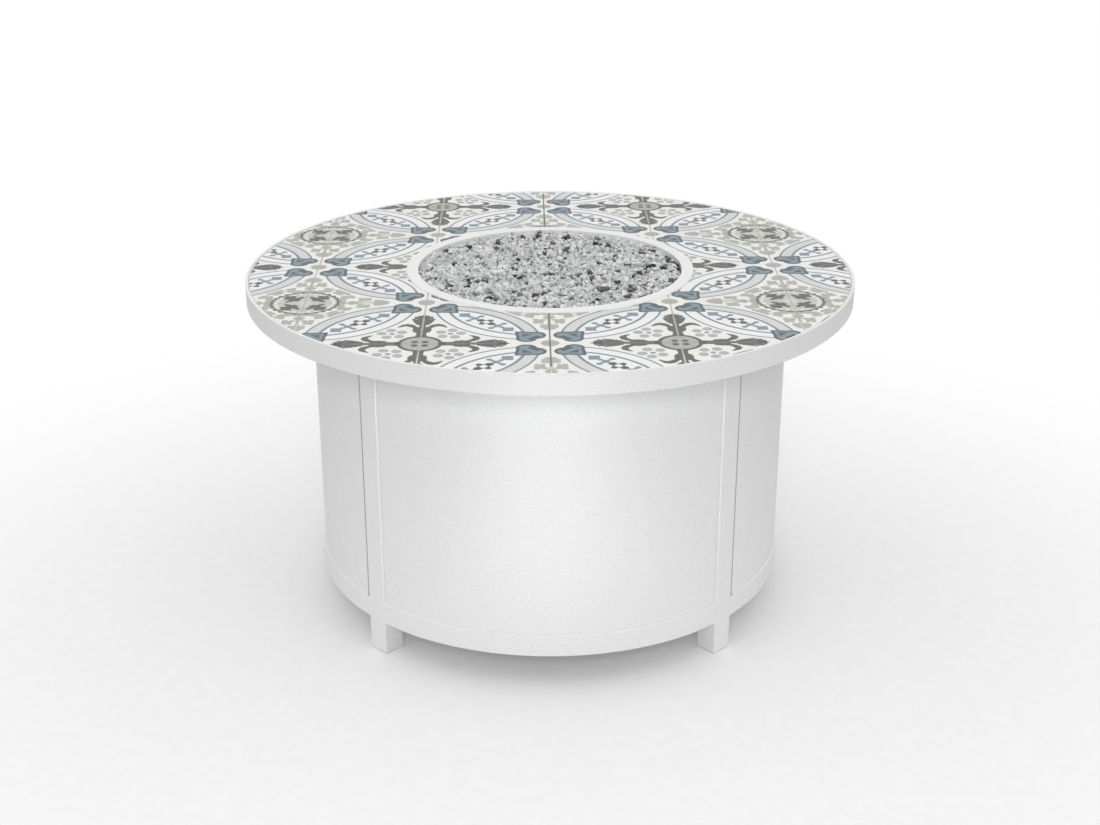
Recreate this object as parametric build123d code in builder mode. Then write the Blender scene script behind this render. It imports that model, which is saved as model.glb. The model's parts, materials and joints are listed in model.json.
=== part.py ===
"""Round gas fire pit table with a tiled top on a panelled drum base.

The origin is on the floor under the middle of the table, +Z is up and the front faces -Y.
Lengths are millimetres and angles are degrees; an azimuth is measured from +X towards +Y.
"""

import os
from math import atan2, ceil, cos, degrees, hypot, radians, sin, sqrt

from build123d import *

os.makedirs("parts", exist_ok=True)

# Clearances that many pieces share
fit_gap = 0.3            # between pieces that are set in place
running_gap = 0.05       # radial, between a pin or shaft and its bore
overrun = 4.0            # how far a cut runs past the material

# Table top
top_diameter = 1066.8
table_height = 605.0     # floor to the top of the rim
rim_height = 36.0
rim_thickness = 5.0
rim_edge_radius = 1.5
ledge_width = 25.0
ledge_thickness = 4.0
tile_drop = 1.0          # tile face below the top of the rim
tile_size_share = 0.1875  # side of a tile over the top's diameter
tile_thickness = 9.0
tile_arris = 0.6
tile_turn = 0.9
tile_shift_x = -6.0      # crossing of the middle joints, from the centre
tile_shift_y = 8.5
joint_width = 2.3
grout_recess = 1.0
backer_thickness = 12.0
deck_thickness = 4.0

# Base frame
top_overhang = 110.4     # rim beyond the base
foot_height = 60.0       # floor to the bottom rail
tube_size = 40.0
tube_wall = 3.0
tube_corner_radius = 2.0
post_cap_thickness = 4.0
glide_thickness = 3.0
glide_inset = 0.5
glide_plug_depth = 15.0
quarter_turn = 90
post_turn_shares = {"front_left": -1.5, "front_right": -0.5, "rear_right": 0.5, "rear_left": 1.5}

# Curved panels and the door
panel_recess = 3.0
panel_thickness = 2.0
return_depth = 20.0
panel_gap = 0.5
panel_turn_shares = {"front_panel": -1, "right_panel": 0, "left_panel": 2}
door_turn_share = 1
door_gap = 3.5
door_end_gap = 3.0
panel_screw_radius = 2.0
panel_screw_head_radius = 4.0
panel_screw_head_height = 2.4
panel_screw_reach = 8.0
panel_screw_shares = (0.2, 0.8)

# Door furniture
hinge_length = 60.0
hinge_knuckle_radius = 4.0
hinge_leaf_thickness = 1.5
hinge_leaf_width = 22.0
hinge_knuckle_gap = 0.4
hinge_pin_radius = 2.0
hinge_pin_head_height = 2.0
hinge_stand_off = 0.5    # knuckle clear of the post face
hinge_shares = (0.2, 0.8)
pull_turn = 34           # pull, from the middle of the door
pull_stem_radius = 5.0
pull_stem_length = 9.0
pull_head_radius = 12.0
pull_head_length = 10.0
pull_edge_radius = 2.0
catch_turn = 28          # magnet, from the middle of the door
catch_width = 28.0
catch_height = 14.0
catch_depth = 16.0
catch_gap = 0.5
strike_width = 30.0
strike_height = 16.0
strike_thickness = 1.5
strike_gap = 0.5         # corners of the flat strike clear of the rolled sheet

# Deck bolts
bolt_radius = 3.0
bolt_head_radius = 6.0
bolt_length = 18.0

# Burner collar and pan
collar_share = 0.47619   # collar over the top's diameter
collar_width = 21.0
collar_cover = 9.0       # collar over the tiles round the opening
collar_thickness = 3.0
collar_lip_thickness = 3.0
collar_lip_height = 18.0
collar_edge_radius = 1.4
pan_clearance = 10.5     # pan wall inside the collar
pan_depth = 60.0
pan_thickness = 1.5
pan_bend_radius = 4.0
pan_flange_width = 16.0
glass_drop = 8.0         # glass below the collar at its edge
glass_crown = 2.0        # rise of the glass from edge to middle
lump_spacing_share = 0.215  # rings of larger lumps, over the radius of the glass
lump_ring_count = 4
lump_radius = 15.0
lump_rise = 6.0
lump_sink = 5.0          # start of a lump inside the glass
lump_taper = 32
lump_turn = 23           # between one ring of lumps and the next

# Burner
burner_margin = 72.5     # ring inside the pan wall
burner_tube_radius = 9.5
burner_tube_wall = 1.5
burner_lift = 20.5       # tube axis above the pan floor
burner_port_radius = 1.2
burner_port_count = 24
burner_port_turn = 7.5
burner_hub_radius = 15.0
burner_hub_lift = 3.0
nipple_radius = 10.5
nipple_wall = 2.8
nipple_engagement = 8.0
locknut_radius = 18.0
locknut_height = 8.0
elbow_drop = 26.0        # elbow axis below the pan
elbow_radius = 13.5
elbow_branch_radius = 12.0
elbow_branch_length = 34.0
elbow_clearance = 2.0    # elbow below the locknut
mixer_radius = 11.0
mixer_length = 60.0
mixer_bore_radius = 6.0
mixer_slot_length = 24.0
mixer_slot_width = 7.0

# Heat shield
shield_inset = 12.5      # edge of the sheet inside the pan wall
shield_thickness = 1.2
shield_drop = 43.0       # top of the sheet below the pan
shield_rim_height = 10.0
standoff_radius = 4.0
standoff_inset = 25.0    # from the edge of the shield
standoff_count = 4

# Ignition pieces that stand through the pan floor
ignition_gap = 5.5       # bracket clear of the burner ring
insulator_radius = 4.0
insulator_drop = 8.0
insulator_rise = 28.0
spark_rod_radius = 1.2
spark_rod_rise = 7.0
thermocouple_radius = 3.0
thermocouple_drop = 8.0
thermocouple_rise = 30.0
hat_thickness = 1.5
hat_height = 13.0
hat_half_width = 19.0
hat_foot_width = 9.0
hat_depth = 18.0
hat_bend_radius = 2.0

# Control bracket, with the valve and the igniter side by side
bracket_thickness = 2.5
bracket_length = 125.0
bracket_height = 100.0
bracket_drop = 199.0     # lower edge below the deck
bracket_bend_radius = 5.0
bracket_wing_inset = 2.0
bracket_screw_spacing = 60.0
bracket_screw_radius = 2.5
bracket_screw_head_radius = 5.0
bracket_screw_head_height = 3.0
bracket_screw_reach = 9.0
valve_inset = 36.0       # from the bend of the bracket
igniter_margin = 33.0    # from the free end of the bracket
valve_depth = 28.0       # gas axis behind the bracket
valve_barrel_radius = 13.0
valve_barrel_tail = 16.0
valve_column_radius = 11.0
valve_column_half_height = 24.0
valve_bonnet_radius = 9.0
valve_bonnet_reach = 6.0
valve_bore_depth = 24.0
valve_nut_radius = 14.0
valve_nut_height = 4.0
valve_port_offset = 8.0
valve_port_depth = 15.0
valve_port_radius = 4.0
valve_port_rise = 7.0
fitting_hex_radius = 11.0
fitting_hex_height = 8.0
outlet_neck_radius = 7.5
outlet_neck_length = 8.0
inlet_neck_radius = 7.9
inlet_neck_length = 16.0
inlet_cone_length = 4.0

# Control knob and its push washer
spindle_radius = 4.0
spindle_tail = 8.0       # spindle left inside the bonnet at rest
knob_travel = 4.0
washer_radius = 7.0
washer_thickness = 1.5
washer_clearance = 1.0   # left between washer and bonnet when pushed
knob_radius = 20.0
knob_skirt_thickness = 5.0
knob_grip_radius = 15.0
knob_grip_length = 19.0
knob_flute_radius = 2.2
knob_flute_count = 12
knob_edge_radius = 1.2
knob_seat_gap = 0.4
knob_bore_depth = 16.0

# Igniter
igniter_radius = 10.5
igniter_length = 48.0
igniter_flange_radius = 14.0
igniter_flange_thickness = 3.0
igniter_nut_radius = 15.0
igniter_nut_height = 5.0
igniter_bore_depth = 16.0
igniter_stub_inset = 8.0
igniter_stub_radius = 3.0
igniter_stub_rise = 6.0
button_radius = 8.2
button_gap = 0.2
button_proud = 6.0
button_tail = 8.0
button_edge_radius = 0.8

# Gas feed and leads
feed_radius = 5.0
feed_bend_radius = 20.0
lead_radius = 2.0
thermocouple_lead_radius = 1.5
lead_bend_radius = 5.0
lead_drop = 15.0         # lead run below the pan

# Sizes that follow from the ones above
top_radius = top_diameter / 2
rim_inner_radius = top_radius - rim_thickness
tile_top = table_height - tile_drop
tile_base = tile_top - tile_thickness
backer_base = tile_base - backer_thickness
deck_base = backer_base - deck_thickness
rim_base = table_height - rim_height
tile_size = top_diameter * tile_size_share
tile_pitch = tile_size + joint_width
tile_outer_radius = rim_inner_radius - joint_width
tile_rows = 2 * ceil(tile_outer_radius / tile_pitch)
base_radius = top_radius - top_overhang
post_radius = base_radius - tube_size / 2
post_inner_radius = base_radius - tube_size
tube_bore = tube_size - 2 * tube_wall
post_length = deck_base - glide_thickness
bottom_rail_top = foot_height + tube_size
top_rail_base = deck_base - tube_size
panel_radius = base_radius - panel_recess
panel_height = top_rail_base - bottom_rail_top
full_turn = 4 * quarter_turn
post_azimuths = {name: share * quarter_turn for name, share in post_turn_shares.items()}
panel_azimuths = {name: share * quarter_turn for name, share in panel_turn_shares.items()}
door_azimuth = door_turn_share * quarter_turn
collar_radius = top_radius * collar_share
opening_radius = collar_radius - collar_cover
collar_inner_radius = collar_radius - collar_width
collar_top = tile_top + collar_thickness
pan_radius = collar_inner_radius - pan_clearance
burner_radius = pan_radius - burner_margin
shield_radius = pan_radius - shield_inset
standoff_circle_radius = shield_radius - standoff_inset
ignition_radius = burner_radius + burner_tube_radius + ignition_gap + hat_depth / 2
bracket_base = deck_base - bracket_drop
igniter_inset = bracket_length - igniter_margin
pan_base = backer_base - pan_depth
pan_floor = pan_base + pan_thickness
pan_hole_radius = nipple_radius + fit_gap
burner_axis = pan_floor + burner_lift
feed_axis = pan_base - elbow_drop
shield_top = pan_base - shield_drop
lead_axis = pan_base - lead_drop


def level(height, azimuth=0):
    """A horizontal plane whose x axis points along an azimuth."""
    turn = radians(azimuth)
    return Plane((0, 0, height), x_dir=(cos(turn), sin(turn), 0), z_dir=(0, 0, 1))


def upright(azimuth):
    """A vertical plane through the centre line, with x outward and y up."""
    turn = radians(azimuth)
    return Plane((0, 0, 0), x_dir=(cos(turn), sin(turn), 0), z_dir=(sin(turn), -cos(turn), 0))


def outward(azimuth, radius, height):
    """A vertical plane that faces away from the centre line, with y up."""
    turn = radians(azimuth)
    return Plane(
        (radius * cos(turn), radius * sin(turn), height),
        x_dir=(-sin(turn), cos(turn), 0),
        z_dir=(cos(turn), sin(turn), 0),
    )


def post_side(azimuth, side, radius, height):
    """A plane on the side face of a post, facing away from the post."""
    turn = radians(azimuth)
    across = (-side * sin(turn), side * cos(turn))
    return Plane(
        (
            radius * cos(turn) + tube_size / 2 * across[0],
            radius * sin(turn) + tube_size / 2 * across[1],
            height,
        ),
        x_dir=(0, 0, 1),
        z_dir=(across[0], across[1], 0),
    )


def keep(piece, name):
    """Label a finished piece and write it out."""
    piece.part.label = name
    export_step(piece.part, f"parts/{name}.step")


# Base frame: four square posts, with a rolled rail between them at the bottom and the top
panel_screw_radius_at = panel_radius - return_depth / 2
panel_screw_heights = [bottom_rail_top + share * panel_height for share in panel_screw_shares]
panel_screw_planes = [
    (post, panel, post_side(post_azimuths[post], side, panel_screw_radius_at, height))
    for panel in panel_azimuths
    for post in post_azimuths
    for side in (1, -1)
    for height in panel_screw_heights
    if (post_azimuths[post] + side * quarter_turn / 2 - panel_azimuths[panel]) % full_turn == 0
]
bracket_screw_planes = [
    outward(post_azimuths["rear_right"], post_inner_radius, bracket_base + bracket_height / 2 + rise)
    for rise in (-bracket_screw_spacing / 2, bracket_screw_spacing / 2)
]


def post_blank(azimuth):
    """The outside of a post, with its outer face rolled to the base radius."""
    with BuildPart() as blank:
        with BuildSketch(level(glide_thickness, azimuth)):
            with Locations((post_radius, 0)):
                Rectangle(tube_size, tube_size)
            Circle(base_radius, mode=Mode.INTERSECT)
        extrude(amount=post_length)
        fillet(blank.edges().filter_by(Axis.Z), tube_corner_radius)
    return blank.part


def make_post(name):
    """A hollow post with a cap for its deck bolt and holes for the screws it takes."""
    azimuth = post_azimuths[name]
    with BuildPart() as post:
        add(post_blank(azimuth))
        with BuildSketch(level(glide_thickness, azimuth)):
            with Locations((post_radius, 0)):
                Rectangle(tube_bore, tube_bore)
        extrude(amount=post_length - post_cap_thickness, mode=Mode.SUBTRACT)
        with BuildSketch(level(deck_base, azimuth)):
            with Locations((post_radius, 0)):
                Circle(bolt_radius + fit_gap)
        extrude(amount=-post_cap_thickness, mode=Mode.SUBTRACT)
        for post_taking, _, plane in panel_screw_planes:
            if post_taking == name:
                with BuildSketch(plane):
                    Circle(panel_screw_radius + fit_gap)
                extrude(amount=-tube_wall - overrun, mode=Mode.SUBTRACT)
        if name == "rear_right":
            for plane in bracket_screw_planes:
                with BuildSketch(plane):
                    Circle(bracket_screw_radius + fit_gap)
                extrude(amount=tube_wall + overrun, mode=Mode.SUBTRACT)
    return post


for post_name in post_azimuths:
    keep(make_post(post_name), "post_" + post_name)


def make_rail(base):
    """A rolled tube ring, cut where the posts pass through it."""
    with BuildPart() as rail:
        with BuildSketch(Plane.XZ):
            with Locations((post_radius, base + tube_size / 2)):
                RectangleRounded(tube_size, tube_size, tube_corner_radius)
                Rectangle(tube_bore, tube_bore, mode=Mode.SUBTRACT)
        revolve(axis=Axis.Z)
        for azimuth in post_azimuths.values():
            add(post_blank(azimuth), mode=Mode.SUBTRACT)
    return rail


keep(make_rail(foot_height), "bottom_rail")
keep(make_rail(top_rail_base), "top_rail")

# A moulded glide is pressed into the lower end of each post
with BuildPart() as foot_glides:
    for azimuth in post_azimuths.values():
        with BuildSketch(level(0, azimuth)):
            with Locations((post_radius - glide_inset, 0)):
                RectangleRounded(tube_size - 2 * glide_inset, tube_size - 2 * glide_inset, tube_corner_radius)
        extrude(amount=glide_thickness)
        with BuildSketch(level(glide_thickness, azimuth)):
            with Locations((post_radius, 0)):
                Rectangle(tube_bore - 2 * fit_gap, tube_bore - 2 * fit_gap)
        extrude(amount=glide_plug_depth)
keep(foot_glides, "foot_glides")


# Panels: one rolled sheet between two posts, with both upright edges turned in
def wedge(half_width):
    """Keep what lies between two posts, clear of their middle planes by a half width."""
    tip = half_width / sin(radians(quarter_turn / 2))
    return Polygon(
        (tip, 0),
        (tip + base_radius, -base_radius),
        (tip + base_radius, base_radius),
        align=None,
        mode=Mode.INTERSECT,
    )


def make_panel(azimuth, edge_gap, end_gap):
    """A curved sheet with returns along its upright edges."""
    base = bottom_rail_top + end_gap
    height = panel_height - 2 * end_gap
    with BuildPart() as panel:
        with BuildSketch(level(base, azimuth)):
            Circle(panel_radius)
            Circle(panel_radius - return_depth, mode=Mode.SUBTRACT)
            wedge(tube_size / 2 + edge_gap)
        extrude(amount=height)
        with BuildSketch(level(base, azimuth)):
            Circle(panel_radius - panel_thickness)
            wedge(tube_size / 2 + edge_gap + panel_thickness)
        extrude(amount=height, mode=Mode.SUBTRACT)
        outer_edges = panel.edges().filter_by(Axis.Z).sort_by_distance((0, 0, base + height / 2))[-2:]
        fillet(outer_edges, panel_thickness / 2)
        for _, panel_held, plane in panel_screw_planes:
            if panel_azimuths[panel_held] == azimuth:
                with BuildSketch(plane):
                    Circle(panel_screw_radius + fit_gap)
                extrude(amount=edge_gap + panel_thickness + overrun, mode=Mode.SUBTRACT)
    return panel


for panel_name, panel_azimuth in panel_azimuths.items():
    keep(make_panel(panel_azimuth, panel_gap, fit_gap), panel_name)

with BuildPart() as panel_screws:
    for _, _, plane in panel_screw_planes:
        with BuildSketch(plane.offset(-panel_screw_reach)):
            Circle(panel_screw_radius)
        extrude(amount=panel_screw_reach + panel_gap + panel_thickness)
        with BuildSketch(plane.offset(panel_gap + panel_thickness)):
            Circle(panel_screw_head_radius)
        extrude(amount=panel_screw_head_height)
keep(panel_screws, "panel_screws")

# Rear access door on two butt hinges, with a pull and a magnet catch
keep(make_panel(door_azimuth, door_gap, door_end_gap), "access_door")

hinge_azimuth = post_azimuths["rear_left"]
hinge_radius = base_radius + hinge_knuckle_radius + hinge_stand_off
hinge_offset = -(tube_size + door_gap) / 2
hinge_bases = [bottom_rail_top + share * panel_height - hinge_length / 2 for share in hinge_shares]
knuckle_length = hinge_length / 3
leaf_reach = hinge_radius - hinge_knuckle_radius - fit_gap
leaf_centre_radius = base_radius - hinge_leaf_width / 2
post_leaf_offset = -(tube_size + hinge_leaf_thickness) / 2
door_leaf_offset = -(tube_size / 2 + door_gap - hinge_leaf_thickness / 2)


def make_hinge_leaves(leaf_offset, knuckle_starts):
    """The leaves of both hinges on one side, each with its own knuckles round the pin."""
    with BuildPart() as leaves:
        for base in hinge_bases:
            with BuildSketch(level(base, hinge_azimuth)):
                with Locations(((leaf_reach + leaf_centre_radius - hinge_leaf_width / 2) / 2, leaf_offset)):
                    Rectangle(leaf_reach - leaf_centre_radius + hinge_leaf_width / 2, hinge_leaf_thickness)
            extrude(amount=hinge_length)
            for start in knuckle_starts:
                with BuildSketch(level(base + start + hinge_knuckle_gap / 2, hinge_azimuth)):
                    with Locations((hinge_radius, hinge_offset)):
                        Circle(hinge_knuckle_radius)
                    with Locations((leaf_reach, leaf_offset)):
                        Rectangle(2 * hinge_knuckle_radius, hinge_leaf_thickness)
                    with Locations((hinge_radius, hinge_offset)):
                        Circle(hinge_pin_radius + running_gap, mode=Mode.SUBTRACT)
                extrude(amount=knuckle_length - hinge_knuckle_gap)
    return leaves


keep(make_hinge_leaves(post_leaf_offset, (0, 2 * knuckle_length)), "hinge_leaves_post")
keep(make_hinge_leaves(door_leaf_offset, (knuckle_length,)), "hinge_leaves_door")

with BuildPart() as hinge_pins:
    for base in hinge_bases:
        with BuildSketch(level(base, hinge_azimuth)):
            with Locations((hinge_radius, hinge_offset)):
                Circle(hinge_pin_radius)
        extrude(amount=hinge_length)
        with BuildSketch(level(base + hinge_length, hinge_azimuth)):
            with Locations((hinge_radius, hinge_offset)):
                Circle(hinge_knuckle_radius)
        extrude(amount=hinge_pin_head_height)
keep(hinge_pins, "hinge_pins")

pull_plane = outward(door_azimuth - pull_turn, panel_radius + running_gap, bottom_rail_top + panel_height / 2)
with BuildPart() as door_pull:
    with BuildSketch(pull_plane):
        Circle(pull_stem_radius)
    extrude(amount=pull_stem_length)
    with BuildSketch(pull_plane.offset(pull_stem_length)):
        Circle(pull_head_radius)
    extrude(amount=pull_head_length)
    fillet(door_pull.edges().filter_by(GeomType.CIRCLE).group_by(SortBy.RADIUS)[-1], pull_edge_radius)
keep(door_pull, "door_pull")

strike_face = sqrt((panel_radius - panel_thickness) ** 2 - (strike_width / 2) ** 2) - strike_gap
strike_height_at = top_rail_base - door_end_gap - strike_height
strike_plane = outward(door_azimuth - catch_turn, strike_face, strike_height_at)
with BuildPart() as door_strike:
    with BuildSketch(strike_plane):
        Rectangle(strike_width, strike_height, align=(Align.CENTER, Align.MIN))
    extrude(amount=-strike_thickness)
keep(door_strike, "door_strike")

catch_face = strike_face - strike_thickness - catch_gap
with BuildPart() as magnet_catch:
    with BuildSketch(outward(door_azimuth - catch_turn, catch_face, top_rail_base)):
        Rectangle(catch_width, catch_height, align=(Align.CENTER, Align.MAX))
    extrude(amount=-catch_depth)
keep(magnet_catch, "magnet_catch")

# Table top: a rolled angle carries the deck, the backer board and the tiles
with BuildPart() as top_rim:
    with BuildSketch(Plane.XZ) as rim_section:
        with BuildLine():
            Polyline(
                (top_radius, rim_base),
                (top_radius, table_height),
                (rim_inner_radius, table_height),
                (rim_inner_radius, deck_base),
                (rim_inner_radius - ledge_width, deck_base),
                (rim_inner_radius - ledge_width, deck_base - ledge_thickness),
                (rim_inner_radius, deck_base - ledge_thickness),
                (rim_inner_radius, rim_base),
                close=True,
            )
        make_face()
        band_corners = rim_section.vertices().group_by(Axis.Y)
        fillet(band_corners[0] + band_corners[-1], rim_edge_radius)
    revolve(axis=Axis.Z)
keep(top_rim, "top_rim")

deck_radius = rim_inner_radius - fit_gap
deck_opening_radius = pan_radius + pan_bend_radius
with BuildPart() as deck_plate:
    with BuildSketch(level(deck_base)):
        Circle(deck_radius)
        Circle(deck_opening_radius, mode=Mode.SUBTRACT)
    extrude(amount=deck_thickness)
    with Locations((0, 0, backer_base)):
        with PolarLocations(post_radius, len(post_azimuths), start_angle=post_azimuths["rear_right"]):
            CounterSinkHole(
                bolt_radius + fit_gap,
                bolt_head_radius + fit_gap,
                depth=deck_thickness + overrun,
                counter_sink_angle=quarter_turn,
            )
keep(deck_plate, "deck_plate")

with BuildPart() as deck_bolts:
    with BuildSketch(upright(post_azimuths["rear_right"])):
        with BuildLine():
            Polyline(
                (post_radius, backer_base),
                (post_radius + bolt_head_radius, backer_base),
                (post_radius + bolt_radius, backer_base - bolt_head_radius + bolt_radius),
                (post_radius + bolt_radius, backer_base - bolt_length),
                (post_radius, backer_base - bolt_length),
                close=True,
            )
        make_face()
    bolt_turn = radians(post_azimuths["rear_right"])
    bolt_line = Axis((post_radius * cos(bolt_turn), post_radius * sin(bolt_turn), 0), (0, 0, 1))
    revolve(axis=bolt_line)
    first_bolt = deck_bolts.part
    for quarter in range(1, len(post_azimuths)):
        add(first_bolt.rotate(Axis.Z, quarter * quarter_turn))
keep(deck_bolts, "deck_bolts")

with BuildPart() as backer_board:
    with BuildSketch(level(backer_base)):
        Circle(deck_radius)
        Circle(opening_radius, mode=Mode.SUBTRACT)
    extrude(amount=backer_thickness)
keep(backer_board, "backer_board")

# Square tiles on a grid turned a little, cut to the rim and to the burner opening
for row in range(tile_rows):
    row_offset = (row - (tile_rows - 1) / 2) * tile_pitch
    with BuildPart() as tile_row:
        with BuildSketch(level(tile_base, tile_turn)):
            with Locations((tile_shift_x, tile_shift_y + row_offset)):
                with GridLocations(tile_pitch, tile_pitch, tile_rows, 1):
                    Rectangle(tile_size, tile_size)
            Circle(tile_outer_radius, mode=Mode.INTERSECT)
            Circle(opening_radius, mode=Mode.SUBTRACT)
        extrude(amount=tile_thickness)
        chamfer(tile_row.faces().group_by(Axis.Z)[-1].edges(), tile_arris)
    keep(tile_row, f"tile_row_{row + 1}")

with BuildPart() as grout:
    with BuildSketch(level(tile_base, tile_turn)):
        with Locations((tile_shift_x, tile_shift_y)):
            with GridLocations(tile_pitch, tile_pitch, tile_rows, tile_rows):
                Rectangle(tile_size, tile_size)
        Circle(tile_outer_radius, mode=Mode.INTERSECT)
    grout_height = tile_thickness - grout_recess
    tile_blocks = extrude(amount=grout_height, mode=Mode.PRIVATE)
    with BuildSketch(level(tile_base)):
        Circle(deck_radius)
        Circle(opening_radius, mode=Mode.SUBTRACT)
    extrude(amount=grout_height)
    add(tile_blocks, mode=Mode.SUBTRACT)
keep(grout, "grout")

# Burner collar: a flat ring on the tiles with a lip turned down into the opening
with BuildPart() as burner_collar:
    with BuildSketch(Plane.XZ) as collar_section:
        with BuildLine():
            Polyline(
                (collar_inner_radius, collar_top),
                (collar_radius, collar_top),
                (collar_radius, tile_top),
                (collar_inner_radius + collar_lip_thickness, tile_top),
                (collar_inner_radius + collar_lip_thickness, collar_top - collar_lip_height),
                (collar_inner_radius, collar_top - collar_lip_height),
                close=True,
            )
        make_face()
        fillet(collar_section.vertices().group_by(Axis.Y)[-1], collar_edge_radius)
    revolve(axis=Axis.Z)
keep(burner_collar, "burner_collar")

# Ignition places follow the leads, which run straight in from the valve and the igniter
bracket_turn = radians(post_azimuths["rear_right"])
bracket_line = post_inner_radius - bracket_thickness / 2
bend_x = bracket_line * cos(bracket_turn) - tube_size / 2 * sin(bracket_turn)
bend_y = bracket_line * sin(bracket_turn) + tube_size / 2 * cos(bracket_turn)
wing_reach = tube_size / 2 - bracket_wing_inset
wing_x = bracket_line * cos(bracket_turn) + wing_reach * sin(bracket_turn)
wing_y = bracket_line * sin(bracket_turn) - wing_reach * cos(bracket_turn)
face_y = bend_y + bracket_thickness / 2
back_y = bend_y - bracket_thickness / 2
control_height = bracket_base + bracket_height / 2
valve_x = bend_x - valve_inset
valve_y = back_y - valve_depth
igniter_x = bend_x - igniter_inset
igniter_stub_y = face_y - igniter_length + igniter_stub_inset
port_x = valve_x + valve_port_offset
port_y = back_y - valve_port_depth
feed_azimuth = degrees(atan2(valve_y, valve_x))
spark_azimuth = degrees(atan2(igniter_stub_y, igniter_x))
thermocouple_azimuth = degrees(atan2(port_y, port_x))
hat_azimuth = (spark_azimuth + thermocouple_azimuth) / 2


def ignition_place(azimuth):
    """A point on the ignition circle."""
    return (ignition_radius * cos(radians(azimuth)), ignition_radius * sin(radians(azimuth)))


# Burner pan: a shallow tray that hangs by its flange in the opening of the deck
with BuildPart() as burner_pan:
    with BuildSketch(Plane.XZ):
        with BuildLine():
            FilletPolyline(
                (pan_hole_radius, pan_base + pan_thickness / 2),
                (pan_radius - pan_thickness / 2, pan_base + pan_thickness / 2),
                (pan_radius - pan_thickness / 2, backer_base + pan_thickness / 2),
                (pan_radius + pan_flange_width, backer_base + pan_thickness / 2),
                radius=pan_bend_radius,
            )
        trace(line_width=pan_thickness)
    revolve(axis=Axis.Z)
    with BuildSketch(level(pan_floor)):
        with Locations(ignition_place(spark_azimuth)):
            Circle(insulator_radius + fit_gap)
        with Locations(ignition_place(thermocouple_azimuth)):
            Circle(thermocouple_radius + fit_gap)
    extrude(amount=-pan_thickness, mode=Mode.SUBTRACT)
keep(burner_pan, "burner_pan")

# Burner: a hollow ring with a cross tube, ports along its top and a hub below
cross_tube_plane = Plane((0, 0, burner_axis), x_dir=(0, 1, 0), z_dir=(1, 0, 0))
burner_bore_radius = burner_tube_radius - burner_tube_wall
with BuildPart() as burner_ring:
    with BuildSketch(upright(quarter_turn / 2)):
        with Locations((burner_radius, burner_axis)):
            Circle(burner_tube_radius)
    revolve(axis=Axis.Z)
    with BuildSketch(cross_tube_plane):
        Circle(burner_tube_radius)
    extrude(amount=burner_radius, both=True)
    with BuildSketch(upright(quarter_turn / 2)):
        with Locations((burner_radius, burner_axis)):
            Circle(burner_bore_radius)
    revolve(axis=Axis.Z, mode=Mode.SUBTRACT)
    with BuildSketch(cross_tube_plane):
        Circle(burner_bore_radius)
    extrude(amount=burner_radius, both=True, mode=Mode.SUBTRACT)
    with BuildSketch(level(burner_axis, burner_port_turn)):
        with PolarLocations(burner_radius, burner_port_count):
            Circle(burner_port_radius)
    extrude(amount=burner_tube_radius + overrun, mode=Mode.SUBTRACT)
keep(burner_ring, "burner_ring")

hub_base = pan_floor + burner_hub_lift
with BuildPart() as burner_hub:
    with BuildSketch(level(hub_base)):
        Circle(burner_hub_radius)
    extrude(amount=burner_axis - hub_base)
    with BuildSketch(cross_tube_plane):
        Circle(burner_tube_radius + running_gap)
    extrude(amount=burner_radius, both=True, mode=Mode.SUBTRACT)
    with BuildSketch(level(hub_base)):
        Circle(nipple_radius + running_gap)
    extrude(amount=nipple_engagement + fit_gap, mode=Mode.SUBTRACT)
keep(burner_hub, "burner_hub")

elbow_top = pan_base - locknut_height - elbow_clearance
nipple_base = elbow_top - nipple_engagement
with BuildPart() as inlet_nipple:
    with BuildSketch(level(nipple_base)):
        Circle(nipple_radius)
        Circle(nipple_radius - nipple_wall, mode=Mode.SUBTRACT)
    extrude(amount=hub_base + nipple_engagement - nipple_base)
keep(inlet_nipple, "inlet_nipple")

with BuildPart() as burner_locknut:
    with BuildSketch(level(pan_base)):
        RegularPolygon(locknut_radius, 6)
        Circle(nipple_radius + running_gap, mode=Mode.SUBTRACT)
    extrude(amount=-locknut_height)
keep(burner_locknut, "burner_locknut")

elbow_base = feed_axis - elbow_branch_radius
with BuildPart() as gas_elbow:
    with BuildSketch(level(elbow_base)):
        Circle(elbow_radius)
    extrude(amount=elbow_top - elbow_base)
    with BuildSketch(outward(feed_azimuth, 0, feed_axis)):
        Circle(elbow_branch_radius)
    extrude(amount=elbow_branch_length)
    with BuildSketch(level(nipple_base)):
        Circle(nipple_radius + running_gap)
    extrude(amount=nipple_engagement, mode=Mode.SUBTRACT)
    with BuildSketch(level(feed_axis)):
        Circle(nipple_radius - nipple_wall)
    extrude(amount=nipple_base - feed_axis, mode=Mode.SUBTRACT)
    with BuildSketch(outward(feed_azimuth, 0, feed_axis)):
        Circle(mixer_bore_radius)
    extrude(amount=elbow_branch_length, mode=Mode.SUBTRACT)
keep(gas_elbow, "gas_elbow")

with BuildPart() as air_mixer:
    mixer_plane = outward(feed_azimuth, elbow_branch_length, feed_axis)
    with BuildSketch(mixer_plane):
        Circle(mixer_radius)
        Circle(mixer_bore_radius, mode=Mode.SUBTRACT)
    extrude(amount=mixer_length)
    with BuildSketch(upright(feed_azimuth)):
        with Locations((elbow_branch_length + mixer_length / 2, feed_axis)):
            SlotOverall(mixer_slot_length, mixer_slot_width)
    extrude(amount=mixer_radius + overrun, both=True, mode=Mode.SUBTRACT)
keep(air_mixer, "air_mixer")

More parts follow.
